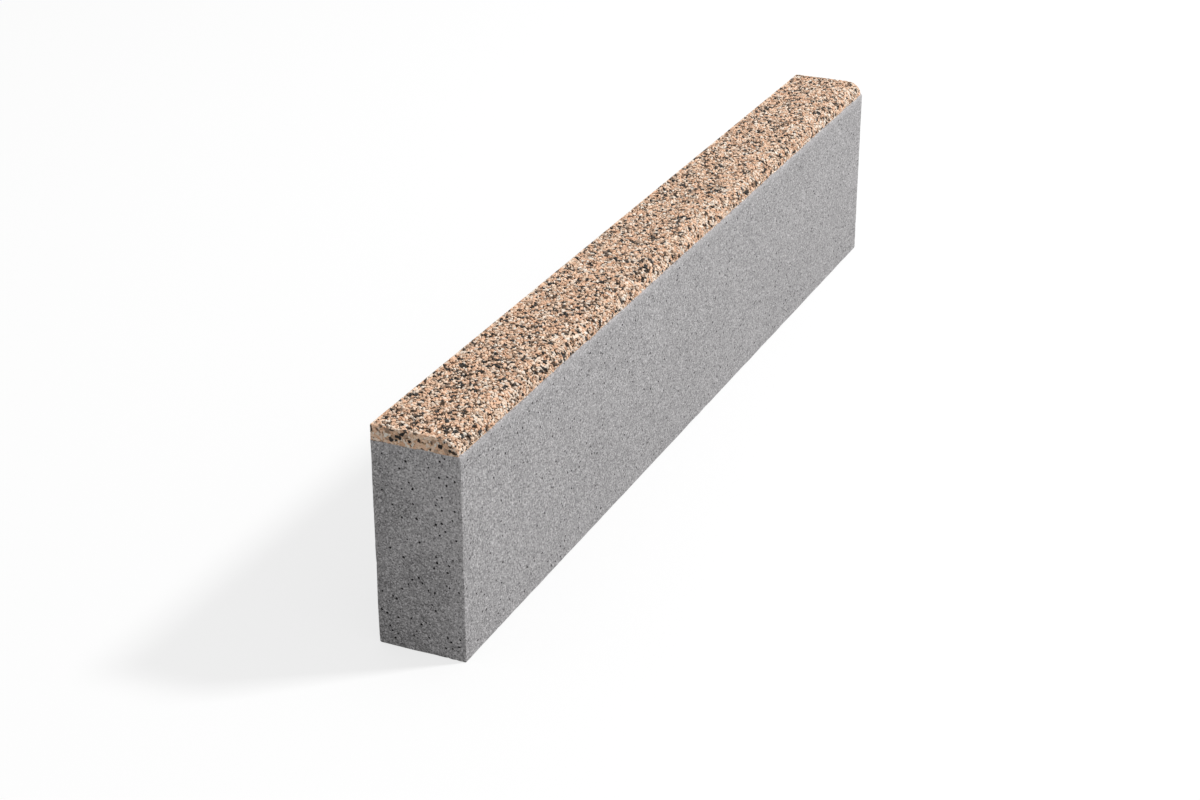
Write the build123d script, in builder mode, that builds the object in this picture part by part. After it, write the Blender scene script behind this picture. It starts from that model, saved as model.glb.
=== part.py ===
from build123d import *
import os

# Pavement kerb stone: a grey concrete body under a facing of washed granite chippings.
# All sizes are in millimetres. The stone lies along X and stands on its bed face at z = 0.
# Its front, with the rounded top edge, looks towards -Y, and its plain back towards +Y.

# Overall size of the stone
length = 1000.0
width = 80.0
height = 200.0

# Depth of the coloured facing, measured down from the top
facing_depth = 14.0

# How far the washed facing stands back from the front of the body, which leaves a narrow ledge
facing_setback = 1.2

# Rounding of the top front edge, which is made in the facing
edge_radius = 16.0

# Slight rounding that the mould leaves along the other edges
arris_radius = 1.5

# The facing lies on the body at this level
joint_level = height - facing_depth


# Concrete body: a plain bar with eased edges, square where the facing lies on it
with BuildPart() as concrete_body:
    with BuildSketch(Plane.YZ) as body_section:
        Rectangle(width, joint_level, align=(Align.CENTER, Align.MIN))
    extrude(amount=length / 2, both=True)
    bed_edges, upright_edges = concrete_body.edges().group_by(Axis.Z)[:2]
    fillet(bed_edges + upright_edges, radius=arris_radius)


# Granite facing: the top slice of a section whose front top corner is rounded
with BuildPart() as granite_facing:
    with BuildSketch(Plane.YZ) as facing_section:
        with Locations((width / 2, 0)):
            Rectangle(width - facing_setback, height, align=(Align.MAX, Align.MIN))
        front_top_corner = facing_section.vertices().group_by(Axis.Y)[-1].sort_by(Axis.X)[0]
        fillet(front_top_corner, radius=edge_radius)
        with Locations((0, joint_level)):
            Rectangle(2 * width, facing_depth, align=(Align.CENTER, Align.MIN), mode=Mode.INTERSECT)
    extrude(amount=length / 2, both=True)

    # Ease the back top edge and both ends, except along the joint with the body
    long_edges = granite_facing.edges().filter_by(Axis.X)
    back_top_edge = long_edges.group_by(Axis.Y)[-1].sort_by(Axis.Z)[-1]
    end_edges = granite_facing.edges().filter_by(Axis.X, reverse=True)
    raised_end_edges = [edge for level in end_edges.group_by(Axis.Z)[1:] for edge in level]
    fillet([back_top_edge] + raised_end_edges, radius=arris_radius)


concrete_body.part.label = "concrete_body"
granite_facing.part.label = "granite_facing"

os.makedirs("parts", exist_ok=True)
export_step(concrete_body.part, "parts/concrete_body.step")
export_step(granite_facing.part, "parts/granite_facing.step")
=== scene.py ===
"""Looks of a pavement kerb stone: pressed grey concrete under a facing of washed granite chippings.

Everything is in metres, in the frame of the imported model. The stone lies along X on the floor,
its front, with the rounded top edge, looks towards -Y, and its plain back towards +Y.
"""

import math
from dataclasses import dataclass

import bmesh
import bpy
import numpy as np
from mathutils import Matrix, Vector, noise
from mathutils.geometry import delaunay_2d_cdt


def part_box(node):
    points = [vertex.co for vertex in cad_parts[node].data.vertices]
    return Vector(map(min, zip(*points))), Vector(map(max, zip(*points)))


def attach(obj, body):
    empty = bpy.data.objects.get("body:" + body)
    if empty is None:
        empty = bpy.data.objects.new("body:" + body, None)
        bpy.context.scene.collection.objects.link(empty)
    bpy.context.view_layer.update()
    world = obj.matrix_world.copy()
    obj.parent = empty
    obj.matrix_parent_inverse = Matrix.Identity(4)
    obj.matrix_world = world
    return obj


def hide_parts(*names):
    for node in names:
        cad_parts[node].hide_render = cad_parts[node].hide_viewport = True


MM = 0.001

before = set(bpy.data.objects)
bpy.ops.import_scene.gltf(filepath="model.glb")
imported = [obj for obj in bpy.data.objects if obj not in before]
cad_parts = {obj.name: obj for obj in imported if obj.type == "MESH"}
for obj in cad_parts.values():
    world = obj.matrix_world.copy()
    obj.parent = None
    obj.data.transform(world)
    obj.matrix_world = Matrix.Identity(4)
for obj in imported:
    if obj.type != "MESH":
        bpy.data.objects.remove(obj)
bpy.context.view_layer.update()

# Places of the stone, from the frame
body_low, body_high = (np.array(corner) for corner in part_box("concrete_body"))
half_length = body_high[0]
front_y, back_y = body_low[1], body_high[1]
joint_z, top_z = body_high[2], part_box("granite_facing")[1][2]

# Rounding of the facing's front edge, and how far the facing stands back from the body's front
edge_radius = 16 * MM
facing_setback = 1.2 * MM


# Small helpers for arrays and meshes

def wander(points, wavelength, offset=0.0):
    """Smooth noise, mostly within half a unit of zero, that swells over about one wavelength."""
    shift = Vector((offset, 2 * offset, 3 * offset))
    return np.array([noise.noise(Vector(point) / wavelength + shift) for point in points])


def smoothstep(values):
    """Values held between 0 and 1, with a soft start and a soft end."""
    held = np.clip(values, 0, 1)
    return held * held * (3 - 2 * held)


def mesh_object(name, corners, faces):
    """A new object from arrays of corners and faces."""
    mesh = bpy.data.meshes.new(name)
    mesh.from_pydata(np.asarray(corners).tolist(), [], [list(map(int, face)) for face in faces])
    mesh.validate()
    piece = bpy.data.objects.new(name, mesh)
    bpy.context.scene.collection.objects.link(piece)
    return piece


def add_values(piece, name, values, domain):
    """Store one number for each corner or face of a piece, for its material to read."""
    attribute = piece.data.attributes.new(name, "FLOAT", domain)
    attribute.data.foreach_set("value", np.asarray(values, np.float32))


def scatter(width, height, radii, counts, rng, spacing, margin=0.0):
    """Throw discs into a rectangle, the largest first, keeping those that clear all the others.

    radii is a list of (smallest, largest), and counts how many discs of each are thrown at a
    square metre. Discs are clear of each other when their middles are apart by spacing times
    the sum of their radii. Returns an array of rows, each with x, y and radius.
    """
    cell = 2 * max(largest for _, largest in radii)
    taken, kept = {}, []
    for (smallest, largest), count in zip(radii, counts):
        thrown = round(width * height * count)
        places = rng.uniform((margin, margin), (width - margin, height - margin), (thrown, 2))
        sizes = np.sort(rng.uniform(smallest, largest, thrown))[::-1]
        for (x, y), radius in zip(places.tolist(), sizes.tolist()):
            column, row = int(x / cell), int(y / cell)
            near = (
                disc
                for i in (column - 1, column, column + 1)
                for j in (row - 1, row, row + 1)
                for disc in taken.get((i, j), ())
            )
            if all((x - a) ** 2 + (y - b) ** 2 > (spacing * (radius + r)) ** 2 for a, b, r in near):
                taken.setdefault((column, row), []).append((x, y, radius))
                kept.append((x, y, radius))
    return np.array(kept)


# Concrete body

# Distances of the close grid rows from an edge, where the arris is rounded and worn, and about
# how far apart the rows between them are
arris_rows = np.array([0.0, 0.3, 0.7, 1.2, 1.8]) * MM
arris_step = 2.5 * MM

# Pores as (smallest radius, largest radius), and how many large and small ones are thrown at a
# square metre of each side. The ends show more, and the top and the underside none.
large_pores = (0.92 * MM, 1.35 * MM)
small_pores = (0.45 * MM, 0.85 * MM)
end_pore_counts = (5200, 11000)
side_pore_counts = (2600, 9000)
level_pore_counts = (0, 0)
pore_spacing = 1.3

# The rim of a pore: its corners, how far they are shifted as a share of the step between them,
# and their reach and the pore's depth as shares of its radius
large_sides = 8
small_sides = 6
rim_shift = 0.25
rim_reach = (0.72, 1.2)
pore_depth = (0.8, 1.4)

# A large pore has a ring of corners between its rim and its bottom: its width as a share of the
# rim's, its depth as a share of the pore's, and its painted shade, where the bottom has 1
ring_width = 0.84
ring_depth = 0.6
ring_darkness = 0.9

# How far the middle of a pore keeps from an edge, so that its rim stays clear of the close rows
pore_margin = arris_rows[-1] + rim_reach[1] * large_pores[1] + 0.1 * MM

# Corners nearer than this are one
weld_distance = 0.001 * MM

# Radius of the worn edges, how much it varies along them, and its least
worn_radius = 1.25 * MM
worn_variation = 0.9 * MM
least_radius = 0.7 * MM

# Small bites out of the edges: how many, their sizes and depths, and the shares that lie on the
# edges along X, Y and Z
bite_count = 80
bite_sizes = (1.2 * MM, 3.2 * MM)
bite_depths = (0.15 * MM, 0.4 * MM)
bite_shares = (0.7, 0.12, 0.18)

# Width of the ledge in front of the facing, how far it falls to the front, and how far below the
# joint the body takes part in the joint's wave
ledge_width = 1.5 * MM
ledge_fall = 0.35 * MM
wave_reach = 4 * MM


def grid_lines(low, high):
    """Grid lines across one side of the body: close rows by its edges and even ones between."""
    first, last = low + arris_rows[-1], high - arris_rows[-1]
    middle = np.linspace(first, last, round((last - first) / arris_step) + 1)
    return np.concatenate([low + arris_rows[:-1], middle, high - arris_rows[-2::-1]])


def pore_outlines(width, height, counts, rng):
    """Uneven rims for the pores of one face, as arrays of points, with the depth of each."""
    discs = scatter(
        width, height, [large_pores, small_pores], counts, rng, pore_spacing, pore_margin
    )
    rims = []
    for x, y, radius in discs:
        sides = large_sides if radius > small_pores[1] else small_sides
        shifts = rng.uniform(-rim_shift, rim_shift, sides)
        angles = (np.arange(sides) + shifts) * 2 * math.pi / sides
        reach = radius * rng.uniform(*rim_reach, sides)
        rim = np.stack([x + reach * np.cos(angles), y + reach * np.sin(angles)], axis=1)
        rims.append((rim, radius * rng.uniform(*pore_depth)))
    return rims


class BodySkin:
    """The body's closed surface, gathered face by face, with shared corners along the edges."""

    def __init__(self):
        self.corners, self.faces, self.darkness, self.shared = [], [], [], {}

    def corner(self, place, darkness=0.0):
        """A new corner. Its painted shade runs from 0 on the surface to 1 at the bottom of a pore."""
        self.corners.append(place)
        self.darkness.append(darkness)
        return len(self.corners) - 1

    def shared_corner(self, place):
        """The corner at a place where sides or cells meet, made the first time it is asked for."""
        key = tuple(np.round(place / weld_distance).astype(int))
        if key not in self.shared:
            self.shared[key] = self.corner(place)
        return self.shared[key]

    def add_side(self, axis, outward, pore_counts, rng):
        """One flat side: a band of small cells round its border, and pores in the middle."""
        across, up = ((axis + 1) % 3, (axis + 2) % 3)[::outward]
        level = body_high[axis] if outward > 0 else body_low[axis]
        lines = [grid_lines(body_low[i], body_high[i]) for i in (across, up)]
        band = len(arris_rows) - 1

        def place(u, v, depth=0.0):
            point = np.empty(3)
            point[[axis, across, up]] = level - outward * depth, u, v
            return point

        columns, rows = len(lines[0]), len(lines[1])
        for i in range(columns - 1):
            for j in range(rows - 1):
                if band <= i < columns - 1 - band and band <= j < rows - 1 - band:
                    continue
                ring = [(i, j), (i + 1, j), (i + 1, j + 1), (i, j + 1)]
                places = [place(lines[0][a], lines[1][b]) for a, b in ring]
                self.faces.append([self.shared_corner(spot) for spot in places])

        inner = [line[band : len(line) - band] for line in lines]
        border = [(u, inner[1][0]) for u in inner[0][:-1]]
        border += [(inner[0][-1], v) for v in inner[1][:-1]]
        border += [(u, inner[1][-1]) for u in inner[0][:0:-1]]
        border += [(inner[0][0], v) for v in inner[1][:0:-1]]
        width, height = (line[-1] - line[0] for line in lines)
        rims = pore_outlines(width, height, pore_counts, rng)
        self.fill_middle(border, rims, place, np.array([lines[0][0], lines[1][0]]))

    def fill_middle(self, border, rims, place, origin):
        """Triangles between the border and the rims of the pores, and a bowl in each rim."""
        points = list(border)
        loops = [list(range(len(border)))]
        for rim, _ in rims:
            loops.append(list(range(len(points), len(points) + len(rim))))
            points += [tuple(point) for point in rim + origin]
        in_mm = [Vector(point) / MM for point in points]
        found, _, triangles, sources, _, owners = delaunay_2d_cdt(in_mm, [], loops, 1, 1e-5)

        # Each point found stands for one or more of the points put in
        made, made_from = [], {}
        for point, source in zip(found, sources):
            if any(i < len(border) for i in source):
                corner = self.shared_corner(place(*points[source[0]]))
            else:
                corner = self.corner(place(point[0] * MM, point[1] * MM))
            made.append(corner)
            made_from.update({i: corner for i in source})

        # A triangle inside the border alone is surface, and one inside a rim as well is open
        for triangle, owner in zip(triangles, owners):
            if len(owner) == 1:
                self.faces.append([made[i] for i in triangle])
        for loop, (rim, depth) in zip(loops[1:], rims):
            self.add_bowl([made_from[i] for i in loop], rim + origin, depth, place)

    def add_bowl(self, rim_corners, rim, depth, place):
        """A small bowl below a rim, in two steps for a large pore and in one for a small one."""
        middle = rim.mean(axis=0)
        sides = len(rim_corners)
        # The bottom of a pore gets full painted shade, and a large pore's ring most of it
        bottom = self.corner(place(*middle, depth), 1.0)
        ring = rim_corners
        if sides == large_sides:
            narrowed = middle + ring_width * (rim - middle)
            ring = [self.corner(place(*point, ring_depth * depth), ring_darkness) for point in narrowed]
            for k in range(sides):
                n = (k + 1) % sides
                self.faces.append([rim_corners[k], rim_corners[n], ring[n], ring[k]])
        for k in range(sides):
            self.faces.append([ring[k], ring[(k + 1) % sides], bottom])


def rounded(corners):
    """Corners near an edge moved from a square arris onto a round one, but not round the top."""
    radius = (worn_radius + worn_variation * wander(corners, 23 * MM))[:, None]
    radius = np.clip(radius, least_radius, arris_rows[-1])
    low, high = body_low + radius, body_high - radius
    high[:, 2] = np.inf
    inner = np.clip(corners, low, high)
    out = corners - inner
    length = np.linalg.norm(out, axis=1, keepdims=True)
    reach = np.abs(out).max(axis=1, keepdims=True)
    return inner + out * np.divide(reach, length, out=np.ones_like(length), where=length > 0)


def take_bites(moved, corners, rng):
    """Move the corners that lie within small bites out of the body's edges."""
    middle = (body_low + body_high) / 2
    for _ in range(bite_count):
        spot = rng.uniform(body_low, body_high)
        axis = rng.choice(3, p=bite_shares)
        sides = rng.choice((-1, 1), 3)
        for other in {0, 1, 2} - {axis}:
            spot[other] = body_high[other] if sides[other] > 0 else body_low[other]
        size = rng.uniform(*bite_sizes)
        inward = np.sign(middle - spot)
        inward[axis] = 0
        near = np.clip(1 - np.linalg.norm(corners - spot, axis=1) / size, 0, 1)
        moved += near[:, None] * rng.uniform(*bite_depths) * inward


def joint_wave(points):
    """How far the joint between body and facing rises or falls from its level."""
    level = np.array(points)
    level[:, 2] = 0
    return 0.6 * MM * wander(level, 16 * MM) + 0.5 * MM * wander(level, 7 * MM, 5.0)


def worn(corners, rng):
    """Round and wear the body's edges, and let its top follow the uneven joint with the facing."""
    moved = rounded(corners)
    take_bites(moved, corners, rng)
    ledge = np.clip(1 - (corners[:, 1] - front_y) / ledge_width, 0, 1)
    near_joint = np.clip(1 - (joint_z - corners[:, 2]) / wave_reach, 0, 1)
    moved[:, 2] -= ledge_fall * ledge * near_joint
    moved[:, 2] += joint_wave(corners) * near_joint
    return moved


def make_body():
    """The concrete body: flat sides full of pores, and slightly rounded, worn edges."""
    rng = np.random.default_rng(seed=11)
    skin = BodySkin()
    for axis, pore_counts in enumerate((end_pore_counts, side_pore_counts, level_pore_counts)):
        for outward in (-1, 1):
            skin.add_side(axis, outward, pore_counts, rng)
    corners = worn(np.array(skin.corners), rng)
    body = mesh_object("kerb_body", corners, skin.faces)
    # The pores' painted shade goes to the material as the attribute pore
    add_values(body, "pore", skin.darkness, "POINT")
    return body


# Granite facing

# Lengths across the facing, unrolled from the foot of its back over the top to the foot of its front
back_run = top_z - joint_z
arc_y = front_y + facing_setback + edge_radius
arc_z = top_z - edge_radius
flat_run = back_y - arc_y
arc_run = edge_radius * (math.pi / 2 - math.asin((joint_z - arc_z) / edge_radius))
washed_run = flat_run + arc_run

# The cement bed lies below the tips of the washed chips, less so along the borders of the washed
# part, and nearly flush where it was moulded
washed_recess = 1.6 * MM
border_recess = 0.7 * MM
moulded_recess = 0.25 * MM

# Height of the lumps in the washed part of the bed
bed_lump = 0.6 * MM

# How far the bed reaches below the joint, how many sections it has along the stone, and in each
# of them how many points across the top and down either side
bed_depth = 2.0 * MM
bed_sections = 640
bed_rows = 56
bed_steps = 5

# Easing of the facing's back top edge and of its ends
facing_ease = 1.5 * MM

# Widths of the borders that were hardly washed out, by the ends, the back and the joint
end_border = 2.5 * MM
back_border = 2.0 * MM
joint_border = 3.0 * MM


def washed_surface(across):
    """Points (y, z) and outward normals of the top and the rounded edge, unrolled from the back."""
    angle = np.clip((across - flat_run) / edge_radius, 0, None)
    y = np.where(across < flat_run, back_y - across, arc_y - edge_radius * np.sin(angle))
    z = np.where(across < flat_run, top_z, arc_z + edge_radius * np.cos(angle))
    return y, z, -np.sin(angle), np.cos(angle)


def held_in_facing(points):
    """Points outside the facing's eased shape moved back onto it."""
    inner = points.copy()
    inset = edge_radius - facing_ease
    inner[..., 0] = np.clip(points[..., 0], facing_ease - half_length, half_length - facing_ease)
    inner[..., 1] = np.clip(points[..., 1], arc_y - inset, back_y - facing_ease)
    inner[..., 2] = np.minimum(points[..., 2], top_z - facing_ease)
    from_arc = points[..., 1:] - (arc_y, arc_z)
    radius = np.linalg.norm(from_arc, axis=-1, keepdims=True)
    in_corner = (from_arc[..., 0] < 0) & (from_arc[..., 1] > 0) & (radius[..., 0] > inset)
    on_arc = (arc_y, arc_z) + from_arc * inset / np.maximum(radius, inset)
    inner[..., 1:] = np.where(in_corner[..., None], on_arc, inner[..., 1:])
    out = points - inner
    length = np.linalg.norm(out, axis=-1, keepdims=True)
    return inner + out * (facing_ease / np.maximum(length, facing_ease))


def washed_share(x, across):
    """How far the cement was washed out: fully in the middle, and hardly along the borders."""
    from_end = smoothstep((half_length - np.abs(x)) / end_border)
    from_back = smoothstep(across / back_border)
    from_joint = smoothstep((washed_run - across) / joint_border)
    return from_end * from_back * from_joint


def bed_top():
    """The bed's upper surface, in sections along the stone, and how far it was washed out."""
    end = half_length - moulded_recess
    stations = np.linspace(-end, end, bed_sections)
    rows = np.linspace(moulded_recess, washed_run, bed_rows)
    x, across = np.meshgrid(stations, rows, indexing="ij")
    y, z, normal_y, normal_z = washed_surface(across)
    washed = washed_share(x, across)
    places = np.stack([x, y, z], axis=-1)
    listed = places.reshape(-1, 3)
    lumps = wander(listed, 3.4 * MM) + 0.6 * wander(listed, 1.6 * MM)
    lumps = bed_lump * lumps.reshape(x.shape)
    recess = border_recess + washed * (washed_recess - border_recess + lumps)
    places[..., 1] -= recess * normal_y
    places[..., 2] -= recess * normal_z
    return held_in_facing(places), washed


def lowered(edge, levels):
    """Copies of an edge of the bed, from its own height at level 1 down to the bed's foot at 0."""
    foot = joint_z - bed_depth
    copies = np.repeat(edge[:, None], len(levels), axis=1)
    copies[..., 2] = foot + (edge[:, 2:] - foot) * levels
    return copies


def make_bed():
    """The cement between the chips: one closed solid, uneven where the chips were washed out."""
    top, washed = bed_top()

    # The outline of each section goes on down the front, under the joint, and up the back
    levels = np.linspace(1, 0, bed_steps + 1)[1:]
    front, back = lowered(top[:, -1], levels), lowered(top[:, 0], levels[::-1])
    outlines = np.concatenate([top, front, back], axis=1)
    around = outlines.shape[1]
    last = (bed_sections - 1) * around
    faces = []
    for start in range(0, last, around):
        for j in range(around):
            here, beside = start + j, start + (j + 1) % around
            faces.append((here, here + around, beside + around, beside))

    # Both ends are closed by one face each
    faces.append(range(around - 1, -1, -1))
    faces.append(range(last, last + around))
    bed = mesh_object("facing_bed", outlines.reshape(-1, 3), faces)
    shares = np.zeros((bed_sections, around))
    shares[:, :bed_rows] = washed
    add_values(bed, "washed", shares.ravel(), "POINT")
    return bed


# The chips are copies of a few shapes, each the hull of some points at about one unit from its
# middle: how many shapes, their fewest and most points, how far the points are shaken along X, Y
# and Z, and how near and how far from the middle they lie
shape_count = 28
hull_points = (8, 12)
hull_shake = 0.28
hull_reach = (0.82, 1.08)

# Radii of the discs that space the chips out, from the largest down to dust, how many of each are
# thrown at a square metre, and how close they may lie
chip_radii = [(1.5 * MM, 2.15 * MM), (1.1 * MM, 1.5 * MM), (0.75 * MM, 1.1 * MM), (0.5 * MM, 0.75 * MM)]
dust_radius = chip_radii[-1][1]
washed_counts = (1.8e5, 6e5, 12e5, 9e5)
moulded_counts = (2.5e5, 6e5, 9e5, 9e5)
washed_spacing = 0.83
moulded_spacing = 0.84

# How much larger the chips are than the discs that space them out, so that they crowd together
washed_swell = 1.24
moulded_swell = 1.45

# Length of a chip over its width, thickness over the disc's radius, and how far it leans
chip_stretch = (1.0, 1.8)
chip_thickness = (0.65, 1.0)
chip_lean = 0.25

# How deep the tips of the washed chips lie at most, how much deeper those of dust, and how far
# the chips at a moulded side would stand out of it, as shares of the disc's radius, if not cut
chip_depth = 0.5 * MM
dust_depth = 0.5 * MM
moulded_tips = (0.4, 1.0)

# How far the middles of the chips on an end keep from the rounded edge
end_margin = 0.5 * MM

# Above 1 more of the chips are of the paler kinds, and below 1 fewer
# On the rounded edge the paler chips are painted light, for the brighter light that falls there
painted_edge_light = 1.4
moulded_paleness = 1.35

# Low corner and size of the parts of a chip's cell in the map that hold its upper and lower
# faces, and how far from the middle of a shape they reach
upper_patch = ((0.03, 0.03), (0.72, 0.94))
lower_patch = ((0.79, 0.03), (0.18, 0.94))
map_reach = 1.1


def hull(points):
    """The convex hull of some points, as arrays of corners and triangles."""
    bm = bmesh.new()
    for point in points:
        bm.verts.new(point)
    made = bmesh.ops.convex_hull(bm, input=bm.verts)
    spare = {part for part in made["geom_interior"] + made["geom_unused"]
             if isinstance(part, bmesh.types.BMVert)}
    bmesh.ops.delete(bm, geom=list(spare), context="VERTS")
    bmesh.ops.triangulate(bm, faces=bm.faces)
    bmesh.ops.recalc_face_normals(bm, faces=bm.faces)
    bm.verts.index_update()
    corners = np.array([corner.co for corner in bm.verts])
    triangles = np.array([[corner.index for corner in face.verts] for face in bm.faces])
    bm.free()
    return corners, triangles


def grain_shape(rng):
    """An angular convex grain: points spread evenly over a ball, then shaken."""
    total = int(rng.integers(hull_points[0], hull_points[1] + 1))
    turn = np.arange(total) * math.pi * (3 - math.sqrt(5))
    height = 1 - (2 * np.arange(total) + 1) / total
    level = np.sqrt(1 - height**2)
    points = np.stack([level * np.cos(turn), level * np.sin(turn), height], axis=1)
    points += rng.normal(0, hull_shake, points.shape)
    points *= rng.uniform(*hull_reach, (total, 1)) / np.linalg.norm(points, axis=1, keepdims=True)
    return hull(points)


def rotations(angles, axis):
    """Rotation matrices about one axis, one for each angle."""
    cos, sin = np.cos(angles), np.sin(angles)
    matrices = np.zeros((len(angles), 3, 3))
    i, j = (axis + 1) % 3, (axis + 2) % 3
    matrices[:, axis, axis] = 1
    matrices[:, i, i] = cos
    matrices[:, j, j] = cos
    matrices[:, i, j] = -sin
    matrices[:, j, i] = sin
    return matrices


@dataclass
class Grains:
    """Chips before they are sorted by colour and meshed, with a row for each in every array.

    Each has its place on the facing's surface, the directions along, across and out of the
    surface there, the radius of its disc, how far its tip stands out, whether it is flush with
    the surface, how pale its kind should be (on the rounded edge this holds painted light), half
    its length, width and thickness, and its turn.
    """
    origins: np.ndarray
    axes: np.ndarray
    radii: np.ndarray
    tips: np.ndarray
    flush: np.ndarray
    paleness: np.ndarray
    sizes: np.ndarray
    turns: np.ndarray


def make_grains(origins, axes, radii, tips, flush, paleness, rng):
    """Grains at given places, with sizes and turns drawn for each."""
    count = len(radii)
    stretch = rng.uniform(*chip_stretch, count)
    thickness = rng.uniform(*chip_thickness, count)
    sizes = np.stack(
        [radii * np.sqrt(stretch), radii / np.sqrt(stretch), radii * thickness], axis=1
    )
    lean = rotations(rng.normal(0, chip_lean, count), 0) @ rotations(rng.normal(0, chip_lean, count), 1)
    return Grains(
        origins=origins,
        axes=np.broadcast_to(axes, (count, 3, 3)),
        radii=radii,
        tips=tips,
        flush=np.full(count, flush),
        paleness=np.full(count, paleness),
        sizes=sizes * (moulded_swell if flush else washed_swell),
        turns=rotations(rng.uniform(0, 2 * math.pi, count), 2) @ lean,
    )


def washed_grains(rng):
    """Proud chips on the top and the rounded edge, paler on the edge as painted light."""
    discs = scatter(2 * half_length, washed_run, chip_radii, washed_counts, rng, washed_spacing)
    x, across, radii = discs.T
    y, z, normal_y, normal_z = washed_surface(across)
    origins = np.stack([x - half_length, y, z], axis=1)
    nought = np.zeros_like(y)
    along = np.stack([nought + 1, nought, nought], axis=1)
    normals = np.stack([nought, normal_y, normal_z], axis=1)
    axes = np.stack([along, np.cross(normals, along), normals], axis=1)
    depth = np.where(radii < dust_radius, dust_depth, 0) + rng.uniform(0, chip_depth, len(radii))
    # Painted light: paler chips on the rounded edge
    paleness = np.where(across > flat_run, painted_edge_light, 1.0)
    return make_grains(origins, axes, radii, -depth, False, paleness, rng)


def moulded_grains(origins, axes, radii, rng):
    """Chips cut flush with a moulded side."""
    tips = radii * rng.uniform(*moulded_tips, len(radii))
    return make_grains(origins, axes, radii, tips, True, moulded_paleness, rng)


def back_grains(rng):
    """Flush chips on the back."""
    discs = scatter(2 * half_length, back_run, chip_radii, moulded_counts, rng, moulded_spacing)
    x, up, radii = discs.T
    origins = np.stack([x - half_length, np.full_like(x, back_y), joint_z + up], axis=1)
    axes = np.array([[-1, 0, 0], [0, 0, 1], [0, 1, 0]], float)
    return moulded_grains(origins, axes, radii, rng)


def end_grains(side, rng):
    """Flush chips on the end that looks along -X (side -1) or +X (side 1), under the rounding."""
    discs = scatter(back_y - front_y, back_run, chip_radii, moulded_counts, rng, moulded_spacing)
    y, z, radii = (discs + (front_y, joint_z, 0)).T
    from_arc = np.hypot(np.minimum(y - arc_y, 0), z - arc_z)
    inside = (from_arc < edge_radius - end_margin) | (y > arc_y)
    y, z, radii = y[inside], z[inside], radii[inside]
    origins = np.stack([np.full_like(y, side * half_length), y, z], axis=1)
    axes = np.array([[0, side, 0], [0, 0, 1], [side, 0, 0]], float)
    return moulded_grains(origins, axes, radii, rng)


def all_grains(rng):
    """The chips of every side as one Grains."""
    groups = [washed_grains(rng), back_grains(rng), end_grains(-1, rng), end_grains(1, rng)]
    columns = zip(*(vars(group).values() for group in groups))
    return Grains(*(np.concatenate(column) for column in columns))


def placed(shape, grains, here):
    """Corners of the chips that share a shape, where they lie in the facing."""
    local = shape[None] * grains.sizes[here, None]
    local = np.einsum("nij,nvj->nvi", grains.turns[here], local)
    local[..., 2] += (grains.tips[here] - local[..., 2].max(axis=1))[:, None]

    # Flush chips are cut flat at the surface and at the joint
    flush = grains.flush[here, None]
    local[..., 2] = np.where(flush, np.minimum(local[..., 2], 0), local[..., 2])
    world = grains.origins[here, None] + np.einsum("nvi,nij->nvj", local, grains.axes[here])
    foot = joint_z + joint_wave(grains.origins[here])[:, None]
    world[..., 2] = np.where(flush, np.maximum(world[..., 2], foot), world[..., 2])
    return held_in_facing(world)


def cell_map(shape, triangles, cells, sheet):
    """Map coordinates of a shape, once for each numbered cell of a sheet of sheet x sheet cells.

    The upper faces are drawn from above over most of the cell, and the lower ones in a strip.
    """
    edges = shape[triangles]
    flat = (edges[..., :2] + map_reach) / (2 * map_reach)
    normal_z = np.cross(edges[:, 1] - edges[:, 0], edges[:, 2] - edges[:, 0])[:, 2]
    upper, lower = (low + flat * size for low, size in (upper_patch, lower_patch))
    spot = np.where((normal_z > 0)[:, None, None], upper, lower)
    origin = np.stack([cells % sheet, cells // sheet], axis=1)
    return (origin[:, None, None] + spot[None]).reshape(-1, 2) / sheet


def make_chips(name, grains, chosen, shapes, rng):
    """One object with all the chosen chips, each with its own tone and its own cell in the map."""
    count = len(grains.radii)
    pick = rng.integers(0, len(shapes), count)
    tone = rng.uniform(0, 1, count)
    sheet = math.ceil(math.sqrt(chosen.sum()))
    corners, faces, tones, maps = [], [], [], []
    corner_count, chip_count = 0, 0
    for k, (shape, triangles) in enumerate(shapes):
        here = np.flatnonzero(chosen & (pick == k))
        numbers = np.arange(len(here))
        starts = corner_count + numbers * len(shape)
        corners.append(placed(shape, grains, here).reshape(-1, 3))
        faces.append((triangles[None] + starts[:, None, None]).reshape(-1, 3))
        tones.append(np.repeat(tone[here], len(triangles)))
        maps.append(cell_map(shape, triangles, chip_count + numbers, sheet))
        corner_count += len(here) * len(shape)
        chip_count += len(here)
    chips = mesh_object(name, np.concatenate(corners), np.concatenate(faces))
    add_values(chips, "tone", np.concatenate(tones), "FACE")
    layer = chips.data.uv_layers.new(name="OFBake")
    layer.data.foreach_set("uv", np.concatenate(maps).astype(np.float32).ravel())
    return chips


# Materials

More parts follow.
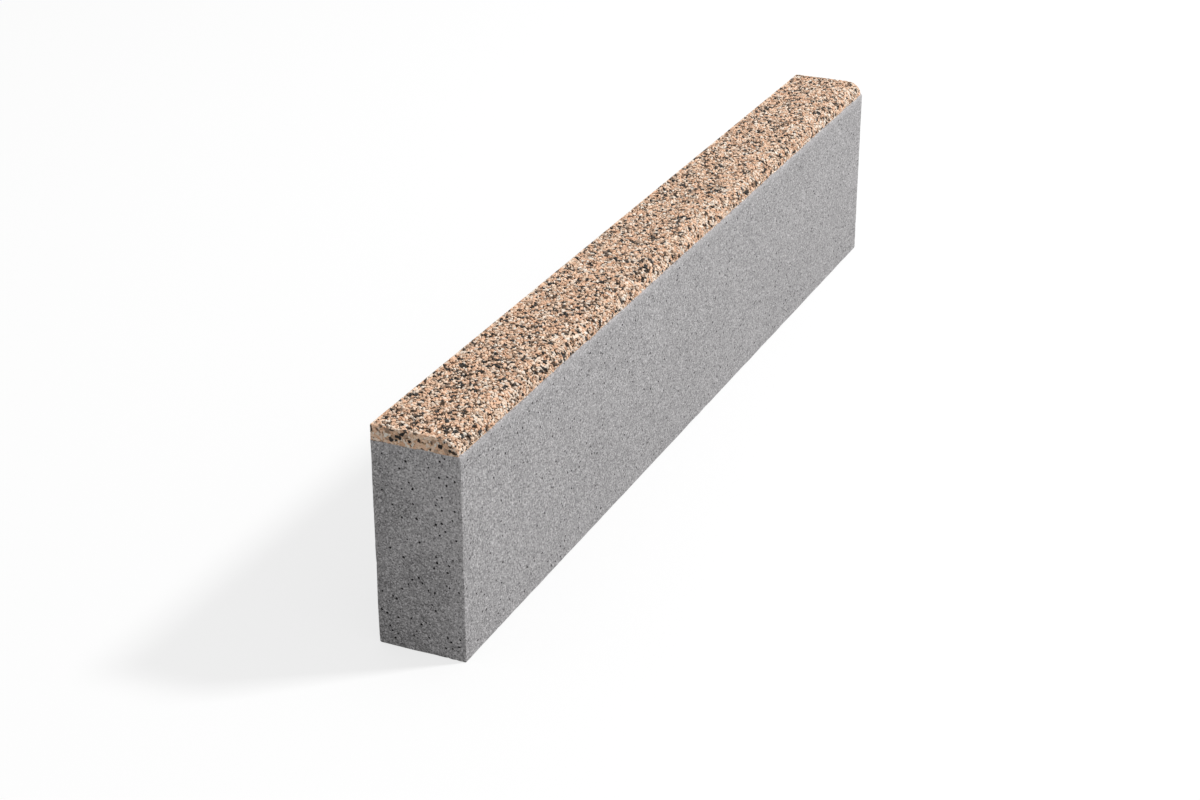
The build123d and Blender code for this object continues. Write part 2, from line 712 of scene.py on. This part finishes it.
class Surface:
    """A procedural material under construction, with short ways to add and link its nodes."""

    def __init__(self, name):
        self.material = bpy.data.materials.new(name)
        self.material.use_nodes = True
        self.tree = self.material.node_tree
        self.shader = self.tree.nodes["Principled BSDF"]
        self.place = self.node("ShaderNodeTexCoord").outputs["Object"]

    def node(self, kind, inputs=None, **settings):
        """A new node, with a value or a link for each of its inputs."""
        made = self.tree.nodes.new(kind)
        for name, value in settings.items():
            setattr(made, name, value)
        for socket, value in (inputs or {}).items():
            if isinstance(value, bpy.types.NodeSocket):
                self.tree.links.new(value, made.inputs[socket])
            else:
                made.inputs[socket].default_value = value
        return made

    def noise(self, size, detail=2.0, roughness=0.5):
        """Noise from 0 to 1 whose features are about one size across."""
        inputs = {"Vector": self.place, "Scale": 1 / size, "Detail": detail, "Roughness": roughness}
        return self.node("ShaderNodeTexNoise", inputs).outputs["Fac"]

    def cells(self, size, place):
        """A random colour for each of many small cells."""
        return self.node("ShaderNodeTexVoronoi", {"Vector": place, "Scale": 1 / size}).outputs["Color"]

    def shaken(self, size, reach):
        """The place moved about by noise, so that what is drawn there has uneven outlines."""
        cloud = self.node("ShaderNodeTexNoise", {"Vector": self.place, "Scale": 1 / size})
        inputs = {0: cloud.outputs["Color"], 1: (2 * reach,) * 3, 2: self.place}
        return self.node("ShaderNodeVectorMath", inputs, operation="MULTIPLY_ADD").outputs["Vector"]

    def attribute(self, name):
        """The number stored for each corner or face of the mesh."""
        return self.node("ShaderNodeAttribute", attribute_name=name).outputs["Fac"]

    def part(self, vector, axis):
        """One coordinate of a vector."""
        return self.node("ShaderNodeSeparateXYZ", {"Vector": vector}).outputs[axis]

    def spread(self, value, low, high, to_low=0.0, to_high=1.0):
        """A value rescaled, and held at both ends."""
        inputs = {"Value": value, "From Min": low, "From Max": high, "To Min": to_low, "To Max": to_high}
        return self.node("ShaderNodeMapRange", inputs).outputs["Result"]

    def maths(self, operation, first, second):
        """Two numbers put together."""
        return self.node("ShaderNodeMath", {0: first, 1: second}, operation=operation).outputs[0]

    def mix(self, share, first, second, blend="MIX"):
        """Two colours mixed. A plain colour is given as (red, green, blue)."""
        first, second = ((*c, 1) if isinstance(c, tuple) else c for c in (first, second))
        made = self.node("ShaderNodeMix", data_type="RGBA", blend_type=blend)
        for socket, value in (("Factor_Float", share), ("A_Color", first), ("B_Color", second)):
            target = next(s for s in made.inputs if s.identifier == socket)
            if isinstance(value, bpy.types.NodeSocket):
                self.tree.links.new(value, target)
            else:
                target.default_value = value
        return next(s for s in made.outputs if s.identifier == "Result_Color")

    def ramp(self, value, stops):
        """Colours along a value, as (position, (red, green, blue))."""
        made = self.node("ShaderNodeValToRGB", {"Fac": value})
        elements = made.color_ramp.elements
        while len(elements) < len(stops):
            elements.new(0.5)
        for element, (position, colour) in zip(elements, stops):
            element.position = position
            element.color = (*colour, 1)
        return made.outputs["Color"]

    def bump(self, height, depth):
        """A normal from a height of 0 to 1 that stands for a depth in metres."""
        inputs = {"Height": height, "Distance": depth, "Strength": 1.0}
        return self.node("ShaderNodeBump", inputs).outputs["Normal"]

    def finish(self, colour, roughness, normal):
        """The material, once its colour, roughness and normal are linked to the shader."""
        for socket, value in (("Base Color", colour), ("Roughness", roughness), ("Normal", normal)):
            self.tree.links.new(value, self.shader.inputs[socket])
        return self.material


def shade(level):
    """A neutral grey with the faint warmth of concrete, from its red level."""
    return (level, level * 0.975, level * 0.985)


def concrete_material():
    """Pressed concrete: cloudy grey with sand grains, paler under the facing, painted shade in the
    pores, near the foot and towards the ends' foot and back, and painted light towards the ends' top
    front.
    """
    s = Surface("pressed_concrete")
    clouds = s.spread(s.noise(60 * MM, 3.0, 0.55), 0.3, 0.7)
    colour = s.mix(clouds, shade(0.325), shade(0.41))
    mottle = s.spread(s.noise(9 * MM, 3.0, 0.6), 0.3, 0.7)
    colour = s.mix(0.3, colour, s.mix(mottle, shade(0.26), shade(0.50)))

    # The ends are cloudier, with painted shade towards the foot and the back, and painted light towards
    # the top front.
    # slant is the height of a point, less twice how far it lies towards the back.
    normal = s.node("ShaderNodeNewGeometry").outputs["Normal"]
    height = s.part(s.place, "Z")
    to_end = s.spread(s.maths("ABSOLUTE", s.part(normal, "X"), 0.0), 0.6, 0.9)
    stain = s.spread(s.noise(45 * MM, 2.0, 0.5), 0.40, 0.60)
    stain = s.mix(stain, shade(0.16), shade(0.60))
    colour = s.mix(s.maths("MULTIPLY", to_end, 0.30), colour, stain)
    slant = s.maths("SUBTRACT", height, s.maths("MULTIPLY", s.part(s.place, "Y"), 2.0))
    painted_end_shade = s.spread(slant, -80 * MM, 110 * MM, 0.78, 0.0)
    colour = s.mix(s.maths("MULTIPLY", to_end, painted_end_shade), colour, shade(0.12))
    painted_end_light = s.spread(slant, 110 * MM, 260 * MM, 0.0, 0.55)
    colour = s.mix(s.maths("MULTIPLY", to_end, painted_end_light), colour, shade(0.62))

    # Fine grain
    grain = s.spread(s.noise(1.1 * MM, 2.0, 0.7), 0.38, 0.62)
    colour = s.mix(0.42, colour, s.mix(grain, shade(0.08), shade(0.72)))

    # Single grains of dark and pale sand that show at the surface
    sand = s.cells(1.1 * MM, s.shaken(1.2 * MM, 0.7 * MM))
    colour = s.mix(s.spread(sand, 0.68, 0.80, 0.0, 0.65), colour, shade(0.09))
    colour = s.mix(s.spread(sand, 0.32, 0.20, 0.0, 0.5), colour, shade(0.85))

    # A paler band on the front, just under the facing, and painted shade near the foot, where the stone
    # meets the floor
    to_front = s.spread(s.part(normal, "Y"), -0.6, -0.9)
    band = s.maths("MULTIPLY", s.spread(height, joint_z - 8 * MM, joint_z, 0.0, 0.4), to_front)
    colour = s.mix(band, colour, shade(0.62))
    # Painted shade near the foot
    colour = s.mix(s.spread(height, 0.0, 120 * MM, 0.10, 0.0), colour, shade(0.22))
    # Painted shade: the pores turn near black towards their bottoms
    colour = s.mix(s.spread(s.attribute("pore"), 0.0, 0.7), colour, shade(0.012))
    rough = s.spread(grain, 0, 1, 0.95, 0.85)
    relief = s.maths("ADD", s.maths("MULTIPLY", grain, 0.6), s.maths("MULTIPLY", mottle, 0.4))
    s.shader.inputs["Specular IOR Level"].default_value = 0.3
    return s.finish(colour, rough, s.bump(relief, 0.15 * MM))


def granite_material(name, stops, flecks, fleck_share):
    """Crushed granite: each chip has its own tone, with crystals and flecks of another mineral."""
    s = Surface(name)
    tone = s.ramp(s.attribute("tone"), stops)
    crystals = s.spread(s.noise(0.9 * MM, 2.0, 0.6), 0.3, 0.7)
    colour = s.mix(crystals, s.mix(1.0, tone, (0.72, 0.70, 0.68), "MULTIPLY"), tone)
    share = s.spread(s.noise(0.7 * MM, 1.0, 0.5), 0.60, 0.68, 0.0, fleck_share)
    colour = s.mix(share, colour, flecks)
    rough = s.spread(crystals, 0, 1, 0.75, 0.5)
    s.shader.inputs["Specular IOR Level"].default_value = 0.4
    return s.finish(colour, rough, s.bump(crystals, 0.12 * MM))


def cement_material():
    """The facing's own cement: sandy brown, with painted shade, near black, in the hollows between the
    chips and in torn spots.
    """
    s = Surface("facing_cement")
    sand = s.spread(s.noise(1.4 * MM, 3.0, 0.7), 0.32, 0.68)
    colour = s.mix(sand, (0.42, 0.21, 0.11), (0.99, 0.70, 0.46))
    tint = s.spread(s.noise(12 * MM, 2.0), 0.35, 0.65)
    colour = s.mix(s.maths("MULTIPLY", tint, 0.3), colour, (0.66, 0.50, 0.38))
    # Painted shade: near-black brown where the cement lies deep between washed chips, and in scattered
    # torn spots, mostly on the ends and the back, that stand for small hollows
    painted_hollow_shade = s.mix(sand, (0.020, 0.011, 0.006), (0.11, 0.065, 0.037))
    torn_spot_shade = s.spread(s.noise(3.0 * MM, 3.0, 0.6), 0.56, 0.60, 0.0, 0.95)
    washed = s.spread(s.attribute("washed"), 0.03, 0.4)
    colour = s.mix(s.maths("MAXIMUM", washed, torn_spot_shade), colour, painted_hollow_shade)
    rough = s.spread(sand, 0, 1, 0.95, 0.85)
    s.shader.inputs["Specular IOR Level"].default_value = 0.25
    return s.finish(colour, rough, s.bump(sand, 0.2 * MM))


# Kinds of granite in the facing: name, share of the chips, colours, flecks and how much they cover
granite_kinds = [
    ("chips_cream", 0.28, [(0.0, (0.93, 0.70, 0.53)), (0.5, (0.99, 0.81, 0.66)),
                           (1.0, (0.99, 0.92, 0.82))], (0.66, 0.48, 0.35), 0.2),
    ("chips_peach", 0.42, [(0.0, (0.76, 0.455, 0.285)), (0.5, (0.94, 0.61, 0.415)),
                           (1.0, (0.99, 0.74, 0.545))], (0.97, 0.81, 0.67), 0.4),
    ("chips_sand", 0.10, [(0.0, (0.34, 0.23, 0.16)), (0.5, (0.50, 0.345, 0.245)),
                          (1.0, (0.66, 0.47, 0.34))], (0.75, 0.58, 0.45), 0.4),
    ("chips_brown", 0.07, [(0.0, (0.06, 0.036, 0.022)), (0.5, (0.12, 0.073, 0.046)),
                           (1.0, (0.22, 0.14, 0.09))], (0.40, 0.29, 0.21), 0.3),
    ("chips_black", 0.13, [(0.0, (0.006, 0.005, 0.004)), (0.6, (0.014, 0.011, 0.009)),
                           (1.0, (0.04, 0.030, 0.024))], (0.16, 0.13, 0.11), 0.2),
]

# Share of the two palest kinds together, which are the only ones among the dust
pale_share = 0.70


def make_facing():
    """The bed of cement and the chips in it, sorted by kind."""
    rng = np.random.default_rng(seed=29)
    bed = make_bed()
    bed.data.materials.append(cement_material())
    grains = all_grains(rng)
    shapes = [grain_shape(rng) for _ in range(shape_count)]
    draw = rng.uniform(0, 1, len(grains.radii)) ** grains.paleness
    draw = np.where(grains.radii < dust_radius, draw * pale_share, draw)
    pieces, used = [bed], 0.0
    for name, share, stops, flecks, cover in granite_kinds:
        chosen = (draw >= used) & (draw < used + share)
        used += share
        chips = make_chips(name, grains, chosen, shapes, rng)
        chips.data.materials.append(granite_material(name, stops, flecks, cover))
        pieces.append(chips)
    return pieces


# Stage, lights and camera

# The floor: its radius and corners, the grey that lights the stone from below, and for the camera
# the share of a matt white that takes the stone's shadow, over an even glow
floor_reach = 30.0
floor_corners = 64
floor_grey = 0.32
floor_white = 0.9
shadow_share = 0.3

# Strength of the even light, and of the white background that is seen behind the floor
even_light = 0.6
seen_light = 1.0

# The photograph's camera: place, heading from +Y towards +X, dip below level, and lens
camera_place = (-1.9228, -0.7904, 0.9963)
camera_heading = math.radians(66.06)
camera_dip = math.radians(25.35)
sensor_width = 36.0
focal_length = 69.46


def add_stage():
    """A wide pale floor that shows as white but keeps the stone's shadow."""
    angles = np.linspace(0, 2 * math.pi, floor_corners + 1)[:-1]
    ring = [(floor_reach * math.cos(angle), floor_reach * math.sin(angle), 0) for angle in angles]
    floor = mesh_object("floor", ring, [range(floor_corners)])
    s = Surface("floor_white")
    s.shader.inputs["Base Color"].default_value = (floor_grey, floor_grey, floor_grey, 1)
    s.shader.inputs["Roughness"].default_value = 1.0
    s.shader.inputs["Specular IOR Level"].default_value = 0.0
    rays = s.node("ShaderNodeLightPath").outputs
    glow = s.node("ShaderNodeEmission", {"Color": (1, 1, 1, 1), "Strength": 1.0})
    white = s.node("ShaderNodeBsdfDiffuse", {"Color": (floor_white, floor_white, floor_white, 1)})
    seen = s.node("ShaderNodeMixShader", {0: shadow_share, 1: glow.outputs[0], 2: white.outputs[0]})
    shown = s.node(
        "ShaderNodeMixShader",
        {0: rays["Is Camera Ray"], 1: s.shader.outputs[0], 2: seen.outputs[0]},
    )
    output = s.tree.nodes["Material Output"]
    s.tree.links.new(shown.outputs[0], output.inputs["Surface"])
    floor.data.materials.append(s.material)


def add_world():
    """Even light from all round, and a white background for the rays that see it."""
    world = bpy.data.worlds.new("studio")
    bpy.context.scene.world = world
    world.use_nodes = True
    tree = world.node_tree
    tree.nodes.clear()
    rays = tree.nodes.new("ShaderNodeLightPath").outputs
    seen = rays["Is Camera Ray"]
    for name in ("Is Glossy Ray", "Is Transmission Ray"):
        either = tree.nodes.new("ShaderNodeMath")
        either.operation = "MAXIMUM"
        tree.links.new(seen, either.inputs[0])
        tree.links.new(rays[name], either.inputs[1])
        seen = either.outputs[0]
    light, shown = (tree.nodes.new("ShaderNodeBackground") for _ in range(2))
    for background, strength in ((light, even_light), (shown, seen_light)):
        background.inputs["Color"].default_value = (1, 1, 1, 1)
        background.inputs["Strength"].default_value = strength
    mixed = tree.nodes.new("ShaderNodeMixShader")
    tree.links.new(seen, mixed.inputs[0])
    tree.links.new(light.outputs[0], mixed.inputs[1])
    tree.links.new(shown.outputs[0], mixed.inputs[2])
    output = tree.nodes.new("ShaderNodeOutputWorld")
    tree.links.new(mixed.outputs[0], output.inputs["Surface"])


def add_lamp(name, place, aim, size, watts):
    """A square soft lamp that looks at a point."""
    data = bpy.data.lights.new(name, "AREA")
    data.size = size
    data.energy = watts
    lamp = bpy.data.objects.new(name, data)
    lamp.location = place
    lamp.rotation_euler = (Vector(aim) - Vector(place)).to_track_quat("-Z", "Y").to_euler()
    bpy.context.scene.collection.objects.link(lamp)


def add_camera():
    """The photograph's view: over the near left end, along the front, from above."""
    data = bpy.data.cameras.new("camera")
    data.sensor_width = sensor_width
    data.lens = focal_length
    data.clip_end = 100.0
    camera = bpy.data.objects.new("camera", data)
    camera.location = camera_place
    level = math.cos(camera_dip)
    forward = Vector((
        math.sin(camera_heading) * level, math.cos(camera_heading) * level, -math.sin(camera_dip)
    ))
    camera.rotation_euler = forward.to_track_quat("-Z", "Y").to_euler()
    bpy.context.scene.collection.objects.link(camera)
    bpy.context.scene.camera = camera


# Putting it together

add_camera()
add_stage()
add_world()
add_lamp("key", place=(2.2, -3.7, 4.3), aim=(0, 0, 0.1), size=0.8, watts=296)

body = make_body()
body.data.materials.append(concrete_material())
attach(body, "root")
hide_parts("concrete_body")

for piece in make_facing():
    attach(piece, "root")
    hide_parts("granite_facing")

bpy.context.scene.view_settings.view_transform = "Standard"
